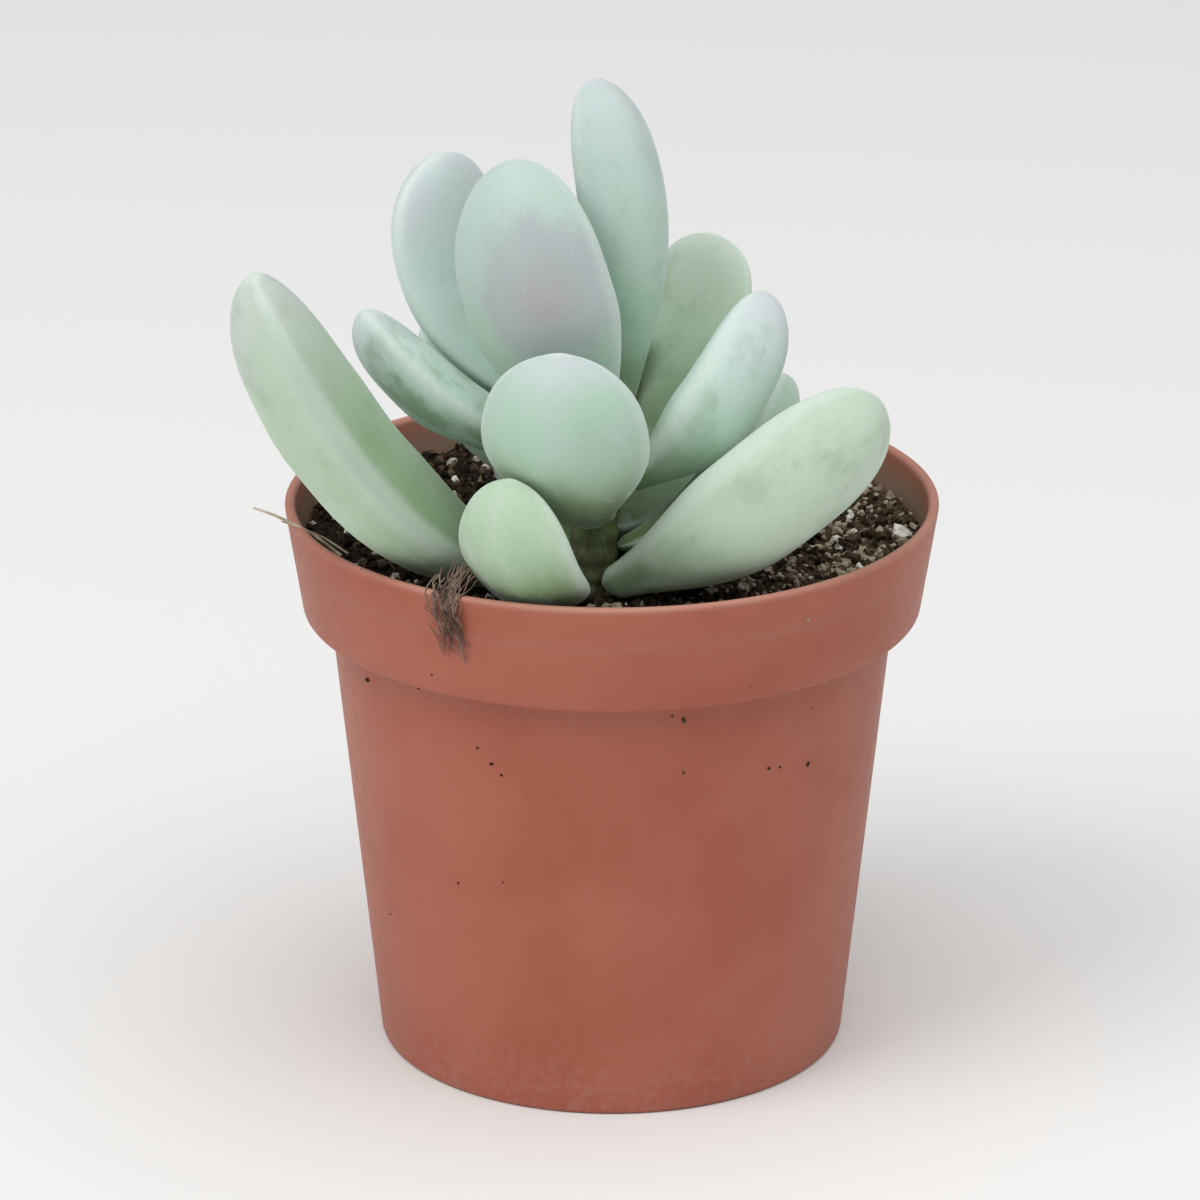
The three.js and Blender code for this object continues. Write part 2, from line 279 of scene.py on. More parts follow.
drills = bmesh.new()
for i in range(DRAIN_HOLES):
    turn = Matrix.Rotation(2 * math.pi * (i + 0.5) / DRAIN_HOLES, 4, "Z")
    bmesh.ops.create_cone(
        drills,
        cap_ends=True,
        segments=DRAIN_SIDES,
        radius1=DRAIN_RADIUS,
        radius2=DRAIN_RADIUS,
        depth=4 * FLOOR_TOP,
        matrix=turn @ Matrix.Translation(((PAD_RADIUS + ring_inner) / 2, 0, FLOOR_TOP)),
    )
cutter = bpy.data.objects.new("drain_drills", mesh_of("drain_drills", drills))
blank = bpy.data.objects.new("pot_blank", mesh_of("pot_blank", pot))
for tool in (cutter, blank):
    bpy.context.scene.collection.objects.link(tool)
drilled = blank.modifiers.new("drain holes", "BOOLEAN")
drilled.operation = "DIFFERENCE"
drilled.solver = "EXACT"
drilled.object = cutter
finished_blank = blank.evaluated_get(bpy.context.evaluated_depsgraph_get())
pot_mesh = bpy.data.meshes.new_from_object(finished_blank)
for tool in (cutter, blank):
    bpy.data.objects.remove(tool)
piece("nursery_pot", pot_mesh, moulded_polypropylene(), "pot_plastic", "pot")

# Potting mix
# A plug of dark peat: a rough skin of crumbs, pale perlite grains, grit and a few root hairs.
# It fills the pot to 3 mm under the rim and holds the stem. It is painted paler on the right and darker
# on the left, as painted light and shade.
SOIL_TOP = POT_HEIGHT - 3 * MM
SOIL_CLEARANCE = 0.3 * MM
SOIL_SIDES = 190
SOIL_RINGS = 62
SOIL_FOOT_ROUND = 1.2 * MM
SOIL_LEDGE_ROUND = 0.5 * MM
SOIL_LEDGE_RISE = 1 * MM
SOIL_EDGE_DROP = 0.8 * MM
SOIL_EDGE_ROUND = 0.3 * MM
LUMP = 0.28 * MM
LUMP_WAVE, CROSS_WAVE, FINE_WAVE = Vector((1.3, 0.7)), Vector((-0.5, 1.1)), Vector((2.1, -1.7))
FINE_SHARE = 0.6
CRUMB_BUMP = 0.55 * MM
CRUMB_SPACING = 1.5 * MM
CRUMB_LEVEL = 0.35
ROUGH_WAVE = 2.3
ROUGH_SHARE = 0.35
STEM_X = -1.7 * MM
STEM_Y = -14 * MM
STEM_RADIUS = 2.3 * MM
PEAT_BLACK = "#261F19"
PEAT_BROWN = "#6A5946"
GRIT = "#B8AB96"
PERLITE_WHITE = "#D9D5CA"
PERLITE_GREY = "#938C7E"
PEAT_MOTTLE = 0.8 * MM
PEAT_FIBRE = 0.3 * MM
FIBRE_DEPTH = 0.15 * MM
PIT_SIZE = 0.35 * MM
PIT_DEPTH = 0.12 * MM
PLUG_TONE = 0.35
PLUG_CHANGE = 0.3
PLUG_PATCH = 2 * MM
# Painted light and shade across the mix: paler to the right, darker to the left
PAINTED_LIGHT_ACROSS_MIX = 0.3
CRUMBS = 9000
CRUMB_RADII = (0.12 * MM, 0.5 * MM)
CRUMB_SQUASH = (0.55, 1.3)
GRAINS = 420
GRAIN_RADII = (0.12 * MM, 0.46 * MM)
GRAIN_SQUASH = (0.75, 1.15)
FINENESS = 2.2
CRUMB_KINDS = range(10)
GRAIN_KINDS = range(11, 17)
JAG_WAVE = 1.4
JAG_SHIFT = Vector((3.7, 1.3, 0))
dice = random.Random(7)


def mix_height(x, y):
    """Height of the mix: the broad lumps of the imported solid, with crumbs on them."""
    place = Vector((x, y)) / MM
    broad = math.sin(place.dot(LUMP_WAVE)) * math.sin(place.dot(CROSS_WAVE))
    fine = FINE_SHARE * math.sin(place.dot(FINE_WAVE))
    spot = Vector((x, y, 0)) / CRUMB_SPACING
    from_crumb = noise.voronoi(spot)[0][0]
    rough = ROUGH_SHARE * noise.noise(spot * ROUGH_WAVE)
    return SOIL_TOP + LUMP * (broad + fine - 1) + CRUMB_BUMP * (CRUMB_LEVEL - from_crumb + rough)


def peat():
    """Damp peat: nearly black in the pores, brown on the crumbs, with pale grit. It gives no gloss."""
    made, tree, shader = material("peat and grit", Roughness=0.97, Specular_IOR_Level=0.08)
    place = add(tree, "ShaderNodeTexCoord", output="Object")
    tone = add(tree, "ShaderNodeAttribute", output="Fac", attribute_name="tone")
    rough = {"Vector": place, "Scale": 1 / PEAT_MOTTLE, "Detail": 5, "Roughness": 0.7}
    mottle = add(tree, "ShaderNodeTexNoise", rough)
    lightness = add(tree, "ShaderNodeMath", {0: tone, 1: mottle}, operation="MULTIPLY")
    colour = coated(tree, PEAT_BLACK, PEAT_BROWN, lightness, bare=0.08, covered=0.6)
    colour = coated(tree, colour, GRIT, tone, bare=0.82, covered=0.95, most=0.8)
    tree.links.new(colour, shader.inputs["Base Color"])
    fine = {"Vector": place, "Scale": 1 / PEAT_FIBRE, "Detail": 4, "Roughness": 0.7}
    fibre = add(tree, "ShaderNodeTexNoise", fine)
    bump = add(tree, "ShaderNodeBump", {"Strength": 0.8, "Distance": FIBRE_DEPTH, "Height": fibre})
    tree.links.new(bump, shader.inputs["Normal"])
    return made


def perlite():
    """Expanded volcanic glass: chalky white grains with a pitted, crystalline skin."""
    made, tree, shader = material("expanded perlite", Roughness=0.8)
    place = add(tree, "ShaderNodeTexCoord", output="Object")
    tone = add(tree, "ShaderNodeAttribute", output="Fac", attribute_name="tone")
    pitted = {"Vector": place, "Scale": 1 / PIT_SIZE, "Detail": 4, "Roughness": 0.7}
    pits = add(tree, "ShaderNodeTexNoise", pitted)
    soiled = add(tree, "ShaderNodeMath", {0: tone, 1: pits}, operation="MULTIPLY")
    colour = coated(tree, PERLITE_WHITE, PERLITE_GREY, soiled, bare=0.2, covered=0.55, most=0.9)
    tree.links.new(colour, shader.inputs["Base Color"])
    bump = add(tree, "ShaderNodeBump", {"Strength": 0.9, "Distance": PIT_DEPTH, "Height": pits})
    tree.links.new(bump, shader.inputs["Normal"])
    return made


def with_tone(mesh, tones):
    """Gives each corner of a mesh its share between the material's dark and pale colours."""
    mesh.attributes.new("tone", "FLOAT", "POINT").data.foreach_set("value", tones)
    return mesh


def lump(seed, jag, detail):
    """An irregular grain about one unit in radius. Each seed gives another one."""
    shape = bmesh.new()
    bmesh.ops.create_icosphere(shape, subdivisions=detail, radius=1)
    for corner in shape.verts:
        corner.co *= 1 + jag * noise.noise(corner.co * JAG_WAVE + JAG_SHIFT * seed)
    return mesh_of("lump", shape)


def painted_light_across_mix(x):
    """Painted light and shade: how much paler the mix is painted at a place, paler right and darker left.
    """
    return PAINTED_LIGHT_ACROSS_MIX * x / RIM_RADIUS


def heap(name, lumps, places, tones):
    """Many grains in one mesh. Each place gives a point and three radii."""
    shape = bmesh.new()
    corner_tones = []
    for (point, radii), tone in zip(places, tones):
        grain_mesh = dice.choice(lumps)
        spin = dice.uniform(0, 2 * math.pi)
        axis = Vector((dice.gauss(0, 1), dice.gauss(0, 1), 1))
        spun = Matrix.Rotation(spin, 4, axis)
        put = Matrix.Translation(point) @ spun @ Matrix.Diagonal((*radii, 1))
        grain_mesh.transform(put)
        shape.from_mesh(grain_mesh)
        grain_mesh.transform(put.inverted())
        corner_tones += [tone] * len(grain_mesh.vertices)
    return with_tone(mesh_of(name, shape), corner_tones)


def spot_on_mix(edge):
    """A random point of the mix, kept clear of the wall and of the stem."""
    while True:
        radius = edge * math.sqrt(dice.random())
        angle = dice.uniform(0, 2 * math.pi)
        x, y = radius * math.cos(angle), radius * math.sin(angle)
        if math.hypot(x - STEM_X, y - STEM_Y) > STEM_RADIUS:
            return x, y


def soil_side(height):
    """Radius of the plug of mix, which stands just clear of the pot's wall."""
    inner = body_radius(height) if height < ledge else collar_radius(height)
    return inner - WALL - SOIL_CLEARANCE / 2


def strewn(count, radii, squash, from_wall, lift):
    """Places for grains strewn over the mix, more of them small than large, and a random share for each.

    from_wall and lift are how far a grain keeps from the wall and stands up, as shares of its radius.
    """
    places, shares = [], []
    for i in range(count):
        size = between(*radii, dice.random() ** FINENESS)
        x, y = spot_on_mix(soil_side(SOIL_TOP) - from_wall * size)
        point = Vector((x, y, mix_height(x, y) + lift * size))
        places.append((point, [size * dice.uniform(*squash) for axis in range(3)]))
        shares.append(dice.random())
    return places, shares


bottom = FLOOR_TOP + SOIL_CLEARANCE
shoulder = SOIL_TOP - SOIL_EDGE_DROP
top_edge = soil_side(shoulder) - SOIL_EDGE_ROUND
profile = [
    (0, bottom),
    (soil_side(bottom) - SOIL_FOOT_ROUND, bottom),
    (soil_side(bottom), bottom + SOIL_FOOT_ROUND),
    (soil_side(STEP_HEIGHT), STEP_HEIGHT),
    (soil_side(STEP_HEIGHT), ledge + SOIL_CLEARANCE),
    (soil_side(ledge) - SOIL_LEDGE_ROUND, ledge + SOIL_CLEARANCE),
    (soil_side(ledge + SOIL_LEDGE_RISE), ledge + SOIL_LEDGE_RISE),
    (soil_side(shoulder), shoulder),
]
profile += [(top_edge * ring / SOIL_RINGS, SOIL_TOP) for ring in range(SOIL_RINGS, -1, -1)]
plug = outline(profile)[0]
spin_closed(plug, SOIL_SIDES)
for corner in plug.verts:
    if corner.co.z > (shoulder + SOIL_TOP) / 2:
        corner.co.z = mix_height(corner.co.x, corner.co.y)
plug_mesh = mesh_of("peat_plug", plug)
plug_tones = []
for corner in plug_mesh.vertices:
    patchy = PLUG_CHANGE * noise.noise(corner.co / PLUG_PATCH)
    plug_tones.append(PLUG_TONE + patchy + painted_light_across_mix(corner.co.x))
damp_peat = peat()
piece("peat_plug", with_tone(plug_mesh, plug_tones), damp_peat, "potting_mix", "soil")

crumb_shapes = [lump(seed, jag=0.9, detail=1) for seed in CRUMB_KINDS]
places, shares = strewn(CRUMBS, CRUMB_RADII, CRUMB_SQUASH, from_wall=1.1, lift=0.25)
tones = [share + painted_light_across_mix(point.x) for (point, radii), share in zip(places, shares)]
crumbs = heap("peat_crumbs", crumb_shapes, places, tones)
piece("peat_crumbs", crumbs, damp_peat, "potting_mix", smooth=False)

# Grains that show beside the leaves come first: across, back and radius, in millimetres.
SHOWN_GRAINS = [(-15.5, -9.5, 0.4), (10.8, -14.3, 0.45), (20.5, -9.5, 0.5), (24.2, -1.7, 0.75)]
SHOWN_GRAINS += [(-13.5, 13, 0.4)]
SHOWN_SQUASH = (0.8, 1.15)
SHOWN_SOILING = 0.3
grain_shapes = [lump(seed, jag=0.75, detail=2) for seed in GRAIN_KINDS]
shown_places, shown_shares = [], []
for grain in SHOWN_GRAINS:
    x, y, size = [measure * MM for measure in grain]
    point = Vector((x, y, mix_height(x, y) + size / 2))
    shown_places.append((point, [size * dice.uniform(*SHOWN_SQUASH) for axis in range(3)]))
    shown_shares.append(SHOWN_SOILING)
places, shares = strewn(GRAINS, GRAIN_RADII, GRAIN_SQUASH, from_wall=1.2, lift=0.35)
places, shares = shown_places + places, shown_shares + shares
tones = [share - painted_light_across_mix(point.x) for (point, radii), share in zip(places, shares)]
grains = heap("perlite_grains", grain_shapes, places, tones)
piece("perlite_grains", grains, perlite(), "potting_mix", smooth=False)

# Dry root tuft and loose fibres
# Dead root hairs, brown and as thin as thread, which hang over the rim at the front left.
# A pale husk fibre, split in two, sticks out past the rim on the left, and short hairs lie in the mix.
HAIR_RADIUS = 0.055 * MM
HAIR_TAPER = 0.45
FIBRE_MOTTLE = 1.3 * MM
FIBRE_RELIEF = 0.05 * MM
TUFT_HAIRS = 38
TUFT_POINTS = 13
TUFT_THICKNESS = (0.7, 1.5)
TUFT_LIFT = (0.05 * MM, 0.7 * MM)
# Where on the way over the rim the tuft's hairs begin and end, as shares of it
TUFT_BEGIN = (0.2, 0.45)
TUFT_END = (0.62, 1)
# The tuft's bearing round the pot, how far the hairs stray from it and how they curl, in degrees
TUFT_BEARING = 241.5
TUFT_TOP_STRAY = 2.1
TUFT_LOW_STRAY = 1.3
TUFT_LOW_DRIFT = 0.5
CURL = 0.8
CURL_WAVE = 9
CURL_START = (0, 6)
LOOSE_HAIRS = 60
LOOSE_POINTS = 6
LOOSE_THICKNESS = (0.5, 1.2)
LOOSE_LIFT = (0.25 * MM, 0.6 * MM)
LOOSE_STEP = 0.6 * MM
LOOSE_BEND = 0.45
LOOSE_FROM_WALL = 4 * MM
HUSK_POINTS = [(-22.5, -8.3, 45.6), (-24.5, -8.1, 47.2), (-26.3, -7.9, 48.2)]
HUSK_POINTS += [(-28, -7.5, 48.9), (-29.7, -6.9, 49.3)]
HUSK_THICKNESSES = (3.2, 1.8)
HUSK_SPLIT = Vector((0.6, 0.5, 0)) * MM
HUSK_DROOP = Vector((0, 0, -0.25)) * MM
ROOT_BROWN = "#54453E"
ROOT_PALE = "#8C7668"
HUSK = "#CDBFA8"


def dry_fibre(name, dark, pale):
    """Dead plant fibre: matt, with lighter and darker stretches a millimetre or two long."""
    made, tree, shader = material(name, Roughness=0.85, Specular_IOR_Level=0.25)
    place = add(tree, "ShaderNodeTexCoord", output="Object")
    patchy = {"Vector": place, "Scale": 1 / FIBRE_MOTTLE, "Detail": 4, "Roughness": 0.6}
    mottle = add(tree, "ShaderNodeTexNoise", patchy)
    colour = coated(tree, dark, pale, mottle, bare=0.35, covered=0.65)
    tree.links.new(colour, shader.inputs["Base Color"])
    bump = add(tree, "ShaderNodeBump", {"Strength": 0.5, "Distance": FIBRE_RELIEF, "Height": mottle})
    tree.links.new(bump, shader.inputs["Normal"])
    return made


def hairs(name, paths):
    """Thin strands that taper, each given as a path of points and a thickness in hairs."""
    curve = bpy.data.curves.new(name, "CURVE")
    curve.dimensions = "3D"
    curve.bevel_depth = HAIR_RADIUS
    curve.bevel_resolution = 1
    curve.use_fill_caps = True
    for points, thickness in paths:
        strand = curve.splines.new("POLY")
        strand.points.add(len(points) - 1)
        for i, point in enumerate(points):
            strand.points[i].co = (*point, 1)
            strand.points[i].radius = thickness * between(1, HAIR_TAPER, i / len(points))
    holder = bpy.data.objects.new(name, curve)
    bpy.context.scene.collection.objects.link(holder)
    mesh = bpy.data.meshes.new_from_object(holder.evaluated_get(bpy.context.evaluated_depsgraph_get()))
    bpy.data.objects.remove(holder)
    return mesh


def over_rim(angle, share):
    """A point on the way from the mix, up over the lip and down the collar, for a share from 0 to 1."""
    stations = [
        (RIM_RADIUS - 9.5 * MM, SOIL_TOP + 0.8 * MM),
        (RIM_RADIUS - 3.6 * MM, POT_HEIGHT + 2.2 * MM),
        (RIM_RADIUS - 0.6 * MM, POT_HEIGHT + 0.5 * MM),
        (RIM_RADIUS + 0.15 * MM, POT_HEIGHT - 1.2 * MM),
        (collar_radius(POT_HEIGHT - 3.6 * MM) + 0.15 * MM, POT_HEIGHT - 3.6 * MM),
        (collar_radius(POT_HEIGHT - 6 * MM) + 0.1 * MM, POT_HEIGHT - 6 * MM),
    ]
    # A share of 1 stays just short of the last station, so that there is always a next one.
    spot = share * (len(stations) - 1.001)
    start, end = stations[int(spot)], stations[int(spot) + 1]
    radius, height = [between(a, b, spot % 1) for a, b in zip(start, end)]
    turn = math.radians(angle)
    return Vector((radius * math.cos(turn), radius * math.sin(turn), height))


paths = []
for i in range(TUFT_HAIRS):
    begin, end = dice.uniform(*TUFT_BEGIN), dice.uniform(*TUFT_END)
    top_angle = TUFT_BEARING + dice.gauss(0, TUFT_TOP_STRAY)
    low_angle = TUFT_BEARING + dice.gauss(TUFT_LOW_DRIFT, TUFT_LOW_STRAY)
    curl_start = dice.uniform(*CURL_START)
    points = []
    for step in range(TUFT_POINTS):
        share = step / (TUFT_POINTS - 1)
        angle = between(top_angle, low_angle, share) + CURL * math.sin(curl_start + CURL_WAVE * share)
        out = Vector((math.cos(math.radians(angle)), math.sin(math.radians(angle)), 0))
        lift = dice.uniform(*TUFT_LIFT) * math.sin(math.pi * share)
        points.append(over_rim(angle, between(begin, end, share)) + out * lift)
    paths.append((points, dice.uniform(*TUFT_THICKNESS)))
root_brown = dry_fibre("dry root hair", ROOT_BROWN, ROOT_PALE)
piece("root_tuft", hairs("root_tuft", paths), root_brown, "potting_mix")

paths = []
for i in range(LOOSE_HAIRS):
    x, y = spot_on_mix(soil_side(SOIL_TOP) - LOOSE_FROM_WALL)
    heading = dice.uniform(0, 2 * math.pi)
    points = []
    for step in range(LOOSE_POINTS):
        points.append(Vector((x, y, mix_height(x, y) + dice.uniform(*LOOSE_LIFT))))
        heading += dice.gauss(0, LOOSE_BEND)
        x += LOOSE_STEP * math.cos(heading)
        y += LOOSE_STEP * math.sin(heading)
    paths.append((points, dice.uniform(*LOOSE_THICKNESS)))
piece("loose_root_hairs", hairs("loose_root_hairs", paths), root_brown, "potting_mix")

husk_path = [Vector(point) * MM for point in HUSK_POINTS]
split_path = [point + HUSK_SPLIT + HUSK_DROOP * i for i, point in enumerate(husk_path[:-1])]
husk_mesh = hairs("husk_fibre", zip((husk_path, split_path), HUSK_THICKNESSES))
piece("husk_fibre", husk_mesh, dry_fibre("coir husk", ROOT_PALE, HUSK), "potting_mix")

# Specks on the pot
# Crumbs of mix and one pale chip, splashed on the outside by watering and dried on, half sunk in the wall.
# A speck is its bearing round the pot in degrees, and its height and radius in millimetres.
SHOWN_SPECKS = [(210.9, 36, 0.22), (284.3, 36.7, 0.3), (244.9, 32.1, 0.18), (284.7, 31.9, 0.2)]
SHOWN_SPECKS += [(304, 31, 0.2), (307, 30.8, 0.16), (315, 30.2, 0.24), (247, 31.2, 0.14)]
SHOWN_SPECKS += [(282, 37.2, 0.13), (228, 37.4, 0.14)]
PALE_SPECK = (305.9, 45, 0.17)
TINY_SPECKS = 34
TINY_HEIGHTS = (1, 46)
TINY_RADII = (0.05, 0.16)
TINY_FINENESS = 2
SPECK_SQUASH = (0.6, 1.1)
SPECK_TONES = (0.1, 0.8)
PALE_TONE = 0.95

specks = list(SHOWN_SPECKS)
for i in range(TINY_SPECKS):
    bearing, height = dice.uniform(0, 360), dice.uniform(*TINY_HEIGHTS)
    specks.append((bearing, height, between(*TINY_RADII, dice.random() ** TINY_FINENESS)))
specks.append(PALE_SPECK)
places = []
for bearing, height, size in specks:
    turn, height, size = math.radians(bearing), height * MM, size * MM
    wall = collar_radius(height) if height > STEP_HEIGHT else body_radius(height)
    point = Vector((wall * math.cos(turn), wall * math.sin(turn), height))
    places.append((point, [size * dice.uniform(*SPECK_SQUASH) for axis in range(3)]))
tones = [dice.uniform(*SPECK_TONES) for speck in specks[:-1]] + [PALE_TONE]
piece("stuck_specks", heap("stuck_specks", crumb_shapes, places, tones), damp_peat, "potting_mix")

# Stem
# A short fleshy stem, green going brown at the foot, ringed by the scars of shed leaves.
# Its green and brown are darkened, partly as painted shade from the leaves above it.
# It stands in the mix at the front left and leans back as it rises, so the leaves hide most of it.
STEM_DEPTH = 9 * MM
STEM_HEIGHT = 15 * MM
STEM_LEAN_X = 3.1 * MM
STEM_LEAN_Y = 8 * MM
STEM_TIP_RADIUS = 1.1 * MM
STEM_SIDES = 40
STEM_STEPS = 72
STEM_GLOW_DEPTH = 1 * MM
STEM_MOTTLE = 0.5 * MM
STEM_STRETCH = 0.3
STEM_RELIEF = 0.1 * MM
CORK_HEIGHT = 8 * MM
SCAR_SPACING = 1.5 * MM
SCAR_SHARE = 0.05
# Stem colours, darkened partly as painted shade from the leaves above
STEM_GREEN_AND_SHADE = "#5E6B3E"
STEM_BROWN_AND_SHADE = "#3B3024"


def stem_point(height):
    """The stem's middle at a height above the mix. It leans more the higher it gets."""
    share = max(height / STEM_HEIGHT, 0)
    return Vector((STEM_X + STEM_LEAN_X * share**2, STEM_Y + STEM_LEAN_Y * share**2, SOIL_TOP + height))


def stem_radius(height):
    """The stem's radius, which is full in the mix and shrinks to the growing tip."""
    return between(STEM_RADIUS, STEM_TIP_RADIUS, min(max(height / STEM_HEIGHT, 0), 1))


def stem_skin():
    """Soft stem skin: green, corky brown low down, a fine up-and-down grain, darkened by painted shade."""
    made, tree, shader = material("succulent stem skin", Roughness=0.7, Subsurface_Weight=0.1)
    shader.inputs["Subsurface Scale"].default_value = STEM_GLOW_DEPTH
    place = add(tree, "ShaderNodeTexCoord", output="Object")
    height = add(tree, "ShaderNodeSeparateXYZ", {0: place}, "Z")
    stretched = add(tree, "ShaderNodeMapping", {"Vector": place, "Scale": (1, 1, STEM_STRETCH)})
    mottle = add(tree, "ShaderNodeTexNoise", {"Vector": stretched, "Scale": 1 / STEM_MOTTLE, "Detail": 4})
    low_down = {"Value": height, "From Min": SOIL_TOP, "From Max": SOIL_TOP + CORK_HEIGHT}
    corky = add(tree, "ShaderNodeMapRange", {**low_down, "To Min": 1, "To Max": 0.1})
    colour = coated(tree, STEM_GREEN_AND_SHADE, STEM_BROWN_AND_SHADE, mottle, bare=0.3, covered=0.6, most=corky)
    tree.links.new(colour, shader.inputs["Base Color"])
    bump = add(tree, "ShaderNodeBump", {"Strength": 0.6, "Distance": STEM_RELIEF, "Height": mottle})
    tree.links.new(bump, shader.inputs["Normal"])
    return made


stem = outline([(0, 0)] + [(1, step / STEM_STEPS) for step in range(STEM_STEPS + 1)] + [(0, 1)])[0]
spin_closed(stem, STEM_SIDES)
for corner in stem.verts:
    height = corner.co.z * (STEM_DEPTH + STEM_HEIGHT) - STEM_DEPTH
    scar = 1 + SCAR_SHARE * math.cos(2 * math.pi * height / SCAR_SPACING)
    flat = Vector((corner.co.x, corner.co.y, 0)) * stem_radius(height) * scar
    corner.co = stem_point(height) + flat
piece("leaf_stem", mesh_of("leaf_stem", stem), stem_skin(), "stem", "stem")

# Leaves
# Swollen water-storing leaves with a blunt tip, flatter above and rounder below, which sit on the stem.
# A white wax bloom hides the green skin except where it is rubbed, and the tips blush mauve in the sun.
LEAF_SIDES = 56
LEAF_STEPS = 44
AT_POLE = 1e-5
WIDEST_AT = 0.63
SWELL = 1.7
ROOT_SHARE = 0.3
ROOT_ROUND = 0.04
ROOT_SINK = 0.15 * MM
BLUNTNESS = 2.8
ELBOW = 0.5
# The upper side has this share of the thickness. The margins thin out, and a faint keel runs underneath.
UPPER_SHARE = 0.42
MARGIN = 0.28
KEEL = 0.04
KEEL_SHARPNESS = 10
MUCRO = 0.1 * MM
MUCRO_SHARE = 0.0025
UNEVEN = 0.2 * MM
WOBBLE_SPACING = 5.5 * MM
WOBBLE_SHIFT = Vector((2.1, 0, 0))
SKIN_GLOW_DEPTH = 1.6 * MM
SKIN_SHIFT = Vector((0.07, 0.03, 0))
SKIN_CLOUD = 6 * MM
SKIN_MOTTLE = 3 * MM
MOTTLE_STRETCH = 0.65
# The grains of wax are too fine to show, so the flecks and the powder are drawn this coarse.
FLECK_SIZE = 0.55 * MM
POWDER_SIZE = 0.16 * MM
WAX_RELIEF = 0.05 * MM
# Painted shade on the upper side of a leaf, darker and greener: it fades from one margin to the middle,
# and from the upper side to the lower.
SHADE_MARGIN = -4.5 * MM
SHADE_MIDDLE = 1.5 * MM
SHADE_UNDER = -1.4 * MM
SHADE_ABOVE = -0.2 * MM
PATCH_RAGGED = 7 * MM
# Thin and full bloom of each kind. The thick kind is paler, painted light that lightens leaves in shade.
BLOOMS = {
    "plain": ("#B1CDBA", "#B8CDC5"),
    "yellowish": ("#B6CFB2", "#C2D3C0"),
    "thick": ("#C6DFD3", "#CEE0DB"),
}
FLECK_WHITE = "#D3DFD8"
SKIN_GREEN = "#8DA883"
ROOT_GREEN = "#5F7444"
BLUSH = "#CACAD4"
PATCH_GREY_AND_SHADE = "#AEB4B8"
PATCH_PINK = "#B2A1A0"
# Bare green where bloom is rubbed off, also used as painted shade on a leaf's upper side
RUBBED_GREEN_AND_SHADE = "#7C9A72"


def fullness(along, widest, blunt):
    """Share of the leaf's full width at a place along it, 0 at the root and 1 at the tip."""
    if along > widest:
        return max(0, 1 - ((along - widest) / (1 - widest)) ** blunt) ** 0.5
    swell = math.sin(math.pi / 2 * along / widest) ** SWELL
    return between(ROOT_SHARE, 1, swell) * min(1, math.sqrt(along / ROOT_ROUND))


def leaf_shape(shape, leaf, start, tip, seed, sides=LEAF_SIDES, steps=LEAF_STEPS):
    """Adds one leaf, bent from its root's middle to its tip, with its sizes in millimetres.

    Each corner keeps how far along and across the leaf it is, and its place on the leaf laid out straight.
    """
    along_layer = shape.verts.layers.float.get("along") or shape.verts.layers.float.new("along")
    across_layer = shape.verts.layers.float.get("across") or shape.verts.layers.float.new("across")
    vectors = shape.verts.layers.float_vector
    straight = vectors.get("straight") or vectors.new("straight")
    half_width, thick = leaf["width"] * MM / 2, leaf["thick"] * MM
    widest, blunt = leaf.get("widest", WIDEST_AT), leaf.get("blunt", BLUNTNESS)
    turn = math.radians(leaf["face"] + leaf.get("twist", 0) - 90)
    side = Vector((math.cos(turn), math.sin(turn), 0))
    line = tip - start
    outer = line.cross(side).normalized()
    middle = start + line * leaf.get("elbow", ELBOW) + outer * 2 * leaf["bow"] * line.length
    made = bmesh.ops.create_uvsphere(shape, u_segments=sides, v_segments=steps, radius=1)
    for corner in made["verts"]:
        across, below, pole = corner.co
        along = (1 + pole) / 2
        place = start * (1 - along) ** 2 + middle * 2 * along * (1 - along) + tip * along**2
        tangent = ((middle - start) * (1 - along) + (tip - middle) * along).normalized()
        right = (side - tangent * side.dot(tangent)).normalized()
        up = right.cross(tangent)
        ring = math.sqrt(max(0, 1 - pole**2))
        offset = Vector((0, 0, 0))
        if ring > AT_POLE:
            across, below = across / ring, below / ring
            full = fullness(along, widest, blunt)
            depth = thick * (UPPER_SHARE if below < 0 else 1 - UPPER_SHARE) * (1 - MARGIN * across**2)
            keel = 1 + KEEL * max(0, below) ** KEEL_SHARPNESS
            offset = right * across * full * half_width - up * below * full * depth * keel
            wobble = noise.noise((place + offset) / WOBBLE_SPACING + WOBBLE_SHIFT * seed)
            offset += offset.normalized() * wobble * UNEVEN * min(1, full * ring)
        nub = math.exp((along - 1) / MUCRO_SHARE) if along > widest else 0
        corner[along_layer] = along
        corner[across_layer] = abs(across) if ring > AT_POLE else 0
        corner[straight] = (offset.dot(right), offset.dot(up), along * line.length)
        corner.co = place + offset + tangent * MUCRO * nub


